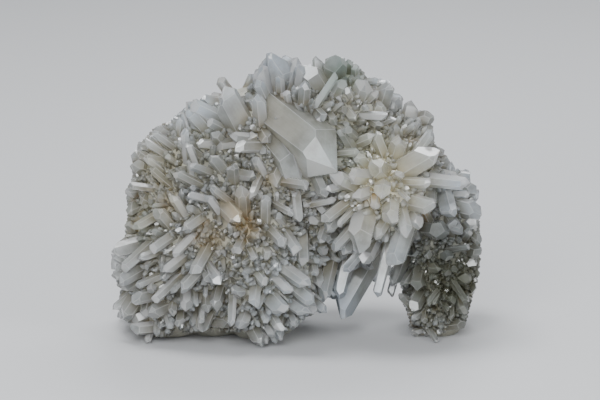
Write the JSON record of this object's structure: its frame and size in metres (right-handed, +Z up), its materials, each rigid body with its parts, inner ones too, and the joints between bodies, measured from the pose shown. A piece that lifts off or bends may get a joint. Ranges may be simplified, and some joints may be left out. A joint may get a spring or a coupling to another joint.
{
  "type": "quartz crystal cluster",
  "caption": "Cluster of milky quartz crystals grown together over an arched mass of rock, a display specimen that stands on small flats at its foot.",
  "frame": {"origin": "middle of the footprint's bounding box, on the surface that the specimen stands on", "axes": "+X to the right as seen from the display side, +Y to the back, +Z up"},
  "size_m": [0.186, 0.1131, 0.1454],
  "materials": {
    "milky_quartz": "Milky translucent quartz with glassy faces, clearer bluish tips, cream to brown stain in the crevices and a little green chlorite"
  },
  "bodies": {
    "root": {"quartz_cluster": "milky_quartz"}
  },
  "joints": []
}
